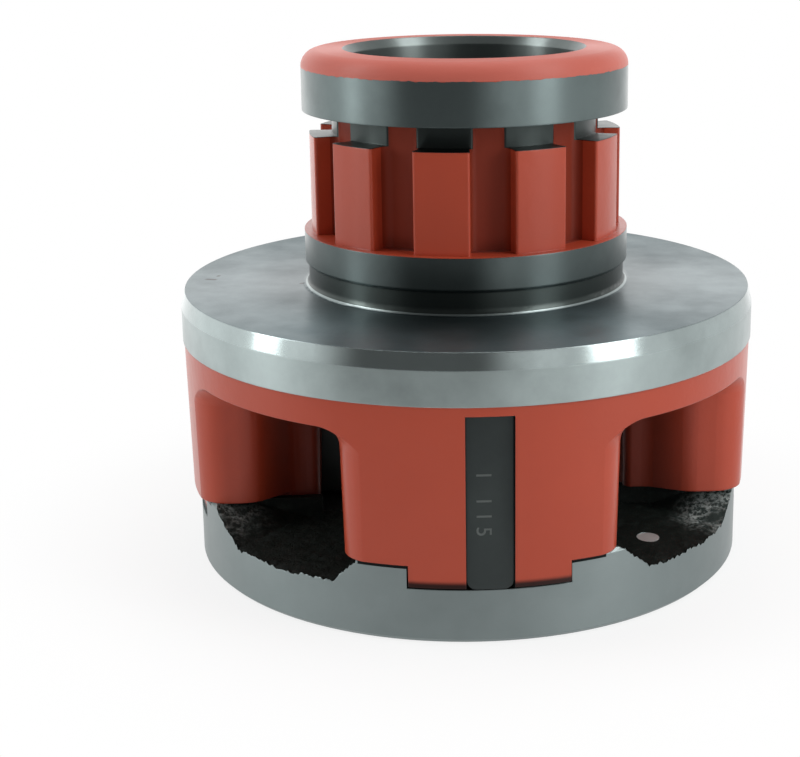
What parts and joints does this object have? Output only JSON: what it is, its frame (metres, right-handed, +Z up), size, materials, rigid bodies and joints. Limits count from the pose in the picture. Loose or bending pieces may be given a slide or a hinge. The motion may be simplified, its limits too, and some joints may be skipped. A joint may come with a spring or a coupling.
{
  "type": "pipe threading die head",
  "caption": "Round die head for threading pipe: toothed hub and guide ring over a flange, posts that carry radial thread dies, and a cap plate with chip troughs.",
  "frame": {"origin": "centre of the cap plate's underside, on the axis of the pipe", "axes": "+Z up along the pipe's axis, from the cap plate to the guide ring; die 1 faces -Y and die 2 faces +X"},
  "size_m": [0.085, 0.085, 0.075],
  "materials": {
    "painted_casting": "orange-red enamel over cast iron, turned bare on the flange, the collar and the guide ring",
    "machined_iron": "turned bare iron with black rough-cast chip troughs",
    "die_steel": "dark hardened tool steel",
    "screw_steel": "black oxide",
    "pin_steel": "ground bright"
  },
  "bodies": {
    "head": {"head_body": "painted_casting", "cap_plate": "machined_iron", "cap_screw_1": "screw_steel", "cap_screw_2": "screw_steel", "cap_screw_3": "screw_steel", "cap_screw_4": "screw_steel", "index_pin": "pin_steel"},
    "die_1": {"die_1": "die_steel"},
    "die_2": {"die_2": "die_steel"},
    "die_3": {"die_3": "die_steel"},
    "die_4": {"die_4": "die_steel"}
  },
  "joints": [
    {"name": "die_1_slide", "type": "slide", "parent": "head", "child": "die_1", "axis": [0, -1, 0], "range_m": [0, 0.026]},
    {"name": "die_2_slide", "type": "slide", "parent": "head", "child": "die_2", "axis": [1, 0, 0], "range_m": [0, 0.026]},
    {"name": "die_3_slide", "type": "slide", "parent": "head", "child": "die_3", "axis": [0, 1, 0], "range_m": [0, 0.026]},
    {"name": "die_4_slide", "type": "slide", "parent": "head", "child": "die_4", "axis": [-1, 0, 0], "range_m": [0, 0.026]}
  ]
}
